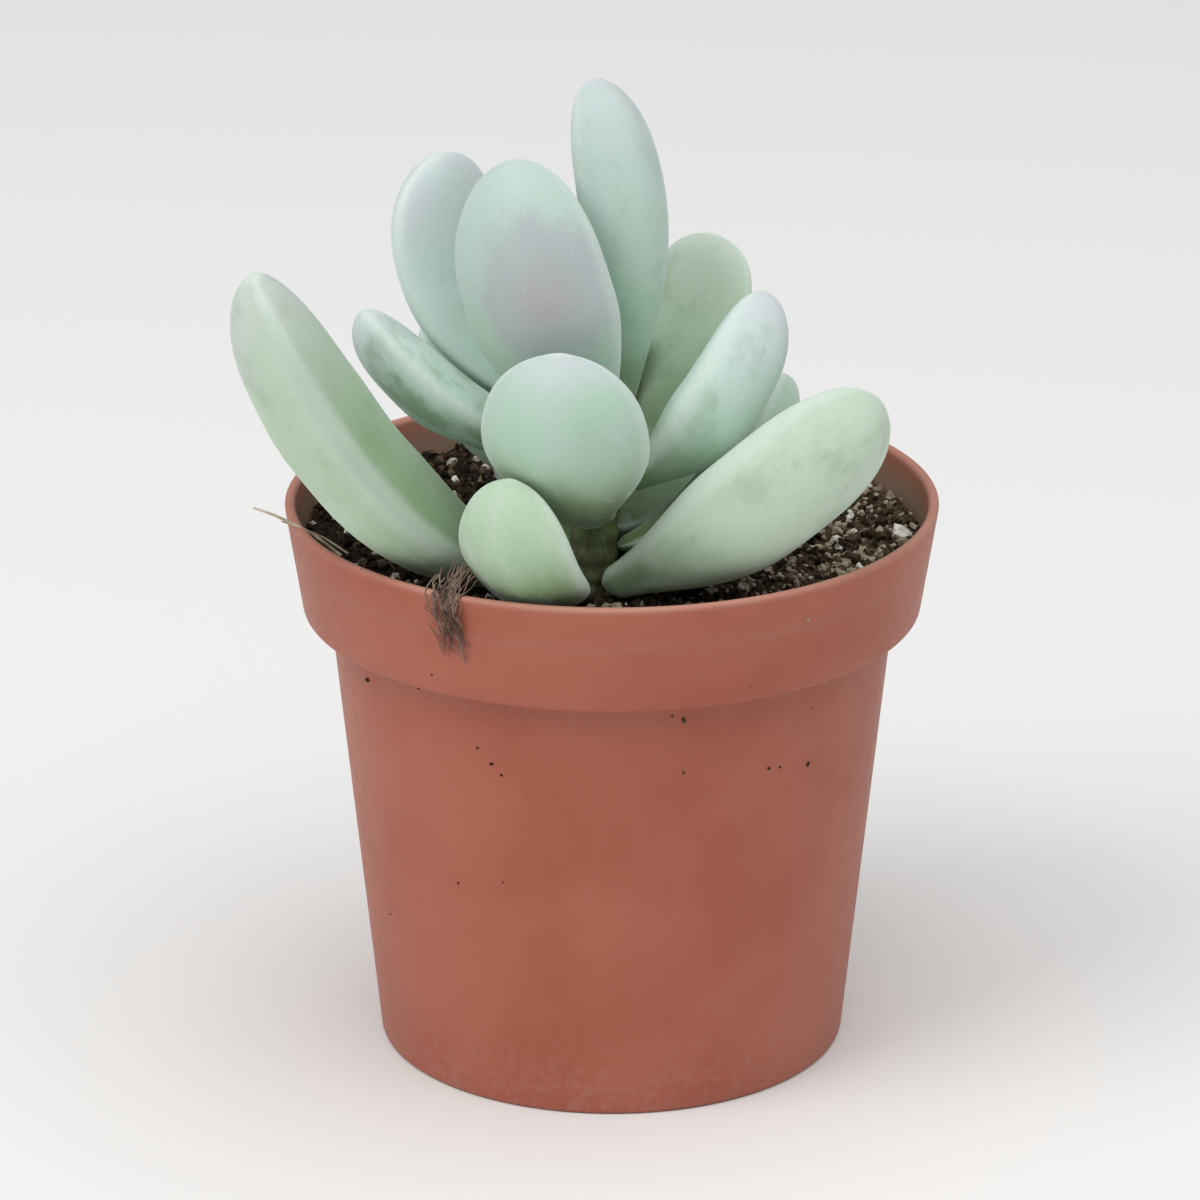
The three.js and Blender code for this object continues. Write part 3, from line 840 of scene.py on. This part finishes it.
def leaf_skin(name, number, bloom="plain", green=0.3, blush=0.3, rubbed=0.2, inner=0.0, patch=None):
    """Waxy leaf skin: white bloom, thick towards the tip and along the margins, thin and green at the root.

    bloom names its kind; the thick kind is paler, partly painted light. green is how far up the leaf the
    green shows, set partly as painted shade and light. blush and rubbed say how mauve the tip is and how
    much bloom is lost. inner is how strong the painted shade on the upper side is. patch is the place on
    the leaf, in millimetres, of a grey-mauve patch, partly painted shade, and its size, or None.
    """
    thin_bloom, full_bloom = BLOOMS[bloom]
    made, tree, shader = material(name, Subsurface_Weight=0.25, Sheen_Weight=0.25, Sheen_Roughness=0.5)
    shader.inputs["Subsurface Radius"].default_value = (0.9, 1.0, 0.55)
    shader.inputs["Subsurface Scale"].default_value = SKIN_GLOW_DEPTH
    shader.inputs["Specular IOR Level"].default_value = 0.3
    straight = add(tree, "ShaderNodeAttribute", output="Vector", attribute_name="straight")
    along = add(tree, "ShaderNodeAttribute", output="Fac", attribute_name="along")
    across = add(tree, "ShaderNodeAttribute", output="Fac", attribute_name="across")
    # Each leaf takes its patterns from a place of its own, so that no two are alike.
    place = add(tree, "ShaderNodeMapping", {"Vector": straight, "Location": SKIN_SHIFT * number})
    drawn_out = add(tree, "ShaderNodeMapping", {"Vector": place, "Scale": (1, 1, MOTTLE_STRETCH)})
    cloud = add(tree, "ShaderNodeTexNoise", {"Vector": place, "Scale": 1 / SKIN_CLOUD})
    uneven = {"Vector": drawn_out, "Scale": 1 / SKIN_MOTTLE, "Detail": 5, "Roughness": 0.6}
    mottle = add(tree, "ShaderNodeTexNoise", uneven)
    flecks = add(tree, "ShaderNodeTexNoise", {"Vector": place, "Scale": 1 / FLECK_SIZE, "Detail": 3})
    powder = add(tree, "ShaderNodeTexNoise", {"Vector": place, "Scale": 1 / POWDER_SIZE})

    # From the root up: green flesh, thin bloom, full bloom
    zone = add(tree, "ShaderNodeMath", {0: cloud, 1: 0.4, 2: along}, operation="MULTIPLY_ADD")
    colour = coated(tree, ROOT_GREEN, SKIN_GREEN, zone, bare=green - 0.1, covered=green + 0.35)
    colour = coated(tree, colour, thin_bloom, zone, bare=green + 0.1, covered=green + 0.55)
    colour = coated(tree, colour, full_bloom, zone, bare=green + 0.5, covered=green + 0.9)

    # Rubbed places, thick bloom in patches and along the margins, mauve tip
    edge = 0.5 - 0.06 * rubbed
    worn = 0.1 + 0.6 * rubbed
    colour = coated(tree, colour, RUBBED_GREEN_AND_SHADE, mottle, bare=edge, covered=edge + 0.22, most=worn)
    colour = coated(tree, colour, full_bloom, mottle, bare=0.5, covered=0.32, most=0.6)
    colour = coated(tree, colour, full_bloom, across, bare=0.75, covered=1, most=0.45)
    colour = coated(tree, colour, BLUSH, zone, bare=1.1 - 0.3 * blush, covered=1.3, most=blush)
    # Painted shade on the upper side, darker and greener, strongest at one margin and lower down the leaf
    if inner:
        from_root = {"Value": zone, "From Min": 0.85, "From Max": 1.2, "To Min": inner, "To Max": 0.05}
        shade = add(tree, "ShaderNodeMapRange", from_root)
        sideways = add(tree, "ShaderNodeSeparateXYZ", {0: straight}, "X")
        from_margin = {"Value": sideways, "From Min": SHADE_MARGIN, "From Max": SHADE_MIDDLE}
        shade = add(tree, "ShaderNodeMapRange", {**from_margin, "To Min": shade, "To Max": 0.2})
        upwards = add(tree, "ShaderNodeSeparateXYZ", {0: straight}, "Y")
        colour = coated(tree, colour, RUBBED_GREEN_AND_SHADE, upwards, bare=SHADE_UNDER, covered=SHADE_ABOVE, most=shade)
    # A grey-mauve patch: partly painted shade on the leaf's belly, where it faces away from the light,
    # partly its own mauve
    if patch:
        middle, size = Vector(patch[:3]) * MM, patch[3] * MM
        away = add(tree, "ShaderNodeVectorMath", {0: straight, 1: middle}, "Value", operation="DISTANCE")
        ragged_edge = {0: mottle, 1: PATCH_RAGGED, 2: away}
        ragged = add(tree, "ShaderNodeMath", ragged_edge, operation="MULTIPLY_ADD")
        colour = coated(tree, colour, PATCH_GREY_AND_SHADE, ragged, bare=2.6 * size, covered=1.9 * size, most=0.85)
        spotted = {"Value": mottle, "From Min": 0.4, "From Max": 0.6, "To Min": 0.3, "To Max": 0.75}
        spots = add(tree, "ShaderNodeMapRange", spotted)
        colour = coated(tree, colour, PATCH_PINK, ragged, bare=1.9 * size, covered=0.8 * size, most=spots)

    # White flecks all over, a white nub at the tip and white margins, and a fine green speckle
    colour = coated(tree, colour, FLECK_WHITE, flecks, bare=0.6, covered=0.75, most=0.12)
    colour = coated(tree, colour, FLECK_WHITE, along, bare=0.99, covered=1, most=0.7)
    colour = coated(tree, colour, FLECK_WHITE, across, bare=0.9, covered=1, most=0.45)
    colour = coated(tree, colour, RUBBED_GREEN_AND_SHADE, powder, bare=0.3, covered=0.7, most=0.1)
    tree.links.new(colour, shader.inputs["Base Color"])
    waxy = {"Value": mottle, "From Min": 0.5, "From Max": 0.75, "To Min": 0.68, "To Max": 0.5}
    tree.links.new(add(tree, "ShaderNodeMapRange", waxy), shader.inputs["Roughness"])
    relief = add(tree, "ShaderNodeMath", {0: flecks, 1: 0.6, 2: powder}, operation="MULTIPLY_ADD")
    bump = add(tree, "ShaderNodeBump", {"Strength": 0.3, "Distance": WAX_RELIEF, "Height": relief})
    tree.links.new(bump, shader.inputs["Normal"])
    return made


# Leaves from the lowest root to the highest, in millimetres.
# root: height up the stem. face: bearing it grows out to, 0 to the right and 270 to the front.
# tip: where the tip stands, from the pot's axis and above the mix. bow: sag as a share of the length.
# widest, blunt, elbow and twist say where a leaf is widest, how square its tip is, where along it it bows
# and by how many degrees its flat side turns off its bearing.
LEAVES = [
    dict(root=1.0, face=292, tip=(21.6, -16, 16.9), bow=0.06, width=12, thick=8.6, widest=0.5, blunt=3),
    dict(root=1.0, face=240, tip=(-8, -24.3, 12.9), bow=0.24, width=11, thick=4.7, widest=0.47),
    dict(root=1.6, face=188, tip=(-28.8, -18, 28), bow=0.13, elbow=0.27, width=11, thick=8.6,
         widest=0.6, blunt=3.8),
    dict(root=2.4, face=112, tip=(-6.4, 9, 14), bow=0.14, width=10.6, thick=7),
    dict(root=3.6, face=340, tip=(14.6, -1.6, 14), bow=0.1, width=8.8, thick=4.6, widest=0.55),
    dict(root=4.4, face=66, tip=(8, 9.4, 13), bow=0.18, width=9.6, thick=6.4),
    dict(root=6.4, face=258, tip=(-4.2, -22.6, 22.9), bow=0.15, width=13.8, thick=7, blunt=2.3),
    dict(root=6.8, face=155, tip=(-14.7, 3.8, 17.6), bow=0.1, width=8.4, thick=5),
    dict(root=8.6, face=320, tip=(12.5, -9.5, 23.9), bow=0.11, width=9.2, thick=6.6, widest=0.46),
    dict(root=10.2, face=200, tip=(-20.5, -8.4, 21.9), bow=0.09, width=8, thick=5.4),
    dict(root=9.4, face=90, tip=(-0.8, 5.4, 22.6), bow=0.14, width=9, thick=6),
    dict(root=11.4, face=248, tip=(-8, -11.5, 35.7), bow=0.12, width=13.4, thick=6.8,
         widest=0.52, blunt=2.4),
    dict(root=11.8, face=145, tip=(-14.4, -0.8, 32.9), bow=0.18, width=14, thick=5.8, blunt=3.4),
    dict(root=10.8, face=12, twist=43, tip=(8.4, -1, 26.2), bow=0.08, width=9.8, thick=4.2, blunt=3.4),
    dict(root=14, face=260, twist=50, tip=(-1.7, -6, 40.8), bow=0.1, width=8.2, thick=6.6, blunt=2.6),
]
# How each leaf's skin differs from the rest. Partly painted light and shade: more green darkens leaves
# 3 and 7 where they lie in shade, and less green or the thick bloom lightens leaves 9, 10, 13 and 14 in
# shade.
COMPLEXIONS = {
    1: dict(bloom="yellowish", green=0.05, blush=0, rubbed=0.38),
    2: dict(bloom="yellowish", green=0.55, blush=0, rubbed=0.3),
    3: dict(bloom="yellowish", green=0.36, blush=0.6, rubbed=0.4, inner=0.75),
    5: dict(green=0.5),
    7: dict(green=0.45, blush=0.5, rubbed=0),
    9: dict(bloom="thick", green=0.15, blush=0.8, rubbed=0.45),
    10: dict(bloom="thick", green=0.25, blush=0.65, rubbed=1.0),
    12: dict(green=0, blush=0.1, rubbed=0.05, patch=(-2.5, -4, 15.2, 4.2)),
    13: dict(bloom="thick", green=0, blush=0.8, rubbed=0.1),
    14: dict(bloom="yellowish", green=0.1, blush=0.4, rubbed=0.35),
    15: dict(green=0, blush=0.7, rubbed=0.25),
}
for number, leaf in enumerate(LEAVES, 1):
    foot = stem_point(leaf["root"] * MM)
    tip = Vector(leaf["tip"]) * MM + Vector((0, 0, SOIL_TOP))
    root_depth = (tip - foot).normalized().z * leaf["thick"] * MM * UPPER_SHARE * ROOT_SHARE
    turn = math.radians(leaf["face"])
    seat = stem_radius(leaf["root"] * MM) - ROOT_SINK + root_depth
    start = foot + Vector((math.cos(turn), math.sin(turn), 0)) * seat
    shape = bmesh.new()
    leaf_shape(shape, leaf, start, tip, number)
    bmesh.ops.recalc_face_normals(shape, faces=shape.faces)
    skin = leaf_skin(f"waxy leaf skin {number}", number, **COMPLEXIONS.get(number, {}))
    piece(f"fleshy_leaf_{number:02d}", mesh_of("fleshy_leaf", shape), skin, "leaf", f"leaf_{number:02d}")

# Growing tip
# A bud of tiny new leaves packed round the stem's end, paler and greener than the grown ones.
# They share one short core, and each stands a golden angle on from the last.
BUD_LEAVES = 4
BUD_LENGTH = 4.6 * MM
BUD_WIDTH = 2
BUD_THICKNESS = 1.6
BUD_BOW = 0.1
BUD_FACE = 100
BUD_LEAN = 0.9 * MM
BUD_SPREAD = 0.4 * MM
BUD_SHORTENING = 0.5 * MM
BUD_SIDES = 24
BUD_STEPS = 20
CORE_STEPS = 16
BUD_NUMBER = 20
GOLDEN_ANGLE = 137.5

bud = bmesh.new()
foot = stem_point(STEM_HEIGHT)
core = Matrix.Translation(foot + Vector((0, 0, STEM_TIP_RADIUS)))
bmesh.ops.create_uvsphere(
    bud, u_segments=BUD_SIDES, v_segments=CORE_STEPS, radius=STEM_TIP_RADIUS, matrix=core
)
for i in range(BUD_LEAVES):
    face = BUD_FACE + i * GOLDEN_ANGLE
    out = Vector((math.cos(math.radians(face)), math.sin(math.radians(face)), 0))
    start = foot + Vector((0, 0, STEM_TIP_RADIUS / 2)) + out * STEM_TIP_RADIUS / 4
    tip = start + Vector((0, BUD_LEAN, BUD_LENGTH - BUD_SHORTENING * i)) + out * BUD_SPREAD
    tiny = dict(face=face, bow=BUD_BOW, width=BUD_WIDTH, thick=BUD_THICKNESS)
    leaf_shape(bud, tiny, start, tip, i, sides=BUD_SIDES, steps=BUD_STEPS)
bmesh.ops.recalc_face_normals(bud, faces=bud.faces)
bud_skin = leaf_skin("waxy bud skin", BUD_NUMBER, green=0.7, blush=0.1)
piece("growing_tip", mesh_of("growing_tip", bud), bud_skin, "leaf", "crown")

# Floor, light and camera
# A wide pale floor. A broad soft light hangs overhead and a smaller one stands at the front left.
FLOOR_PALE = "#ECECEA"
FLOOR_SIZE = 6
LIGHT_AIM = (0, 0, 0.05)
KEY_PLACE = (-0.6, -0.4, 0.7)
KEY_SIZE = 0.6
KEY_POWER = 3.6
TOP_PLACE = (0.15, -0.25, 0.95)
TOP_SIZE = 1.4
TOP_POWER = 8.5
SKY_PALE = "#F4F6F8"
SKY_STRENGTH = 0.4
CAMERA_PLACE = (0, -0.510, 0.2286)
CAMERA_AIM = (-0.001, 0, 0.0386)
CAMERA_LENS = 193.3
SENSOR_WIDTH = 36

floor_shape = bmesh.new()
bmesh.ops.create_grid(floor_shape, x_segments=2, y_segments=2, size=FLOOR_SIZE)
floor_mesh = mesh_of("studio_floor", floor_shape)
floor_look, _, floor_shader = material("pale seamless paper", Roughness=0.9)
floor_shader.inputs["Base Color"].default_value = linear(FLOOR_PALE)
floor_mesh.materials.append(floor_look)
floor = bpy.data.objects.new("studio_floor", floor_mesh)
bpy.context.scene.collection.objects.link(floor)


def aimed(name, thing, place, aim):
    """Puts a lamp or a camera in the scene, turned towards the point it is aimed at."""
    made = bpy.data.objects.new(name, thing)
    made.location = place
    made.rotation_euler = (Vector(aim) - Vector(place)).to_track_quat("-Z", "Y").to_euler()
    bpy.context.scene.collection.objects.link(made)
    return made


def soft_light(name, place, size, power):
    lamp = bpy.data.lights.new(name, "AREA")
    lamp.size = size
    lamp.energy = power
    aimed(name, lamp, place, LIGHT_AIM)


soft_light("key_light", KEY_PLACE, KEY_SIZE, KEY_POWER)
soft_light("top_light", TOP_PLACE, TOP_SIZE, TOP_POWER)
sky = bpy.data.worlds.new("soft_daylight")
sky.use_nodes = True
sky.node_tree.nodes["Background"].inputs["Color"].default_value = linear(SKY_PALE)
sky.node_tree.nodes["Background"].inputs["Strength"].default_value = SKY_STRENGTH
bpy.context.scene.world = sky
bpy.context.scene.view_settings.view_transform = "Standard"

lens = bpy.data.cameras.new("camera")
lens.lens = CAMERA_LENS
lens.sensor_width = SENSOR_WIDTH
bpy.context.scene.camera = aimed("camera", lens, CAMERA_PLACE, CAMERA_AIM)
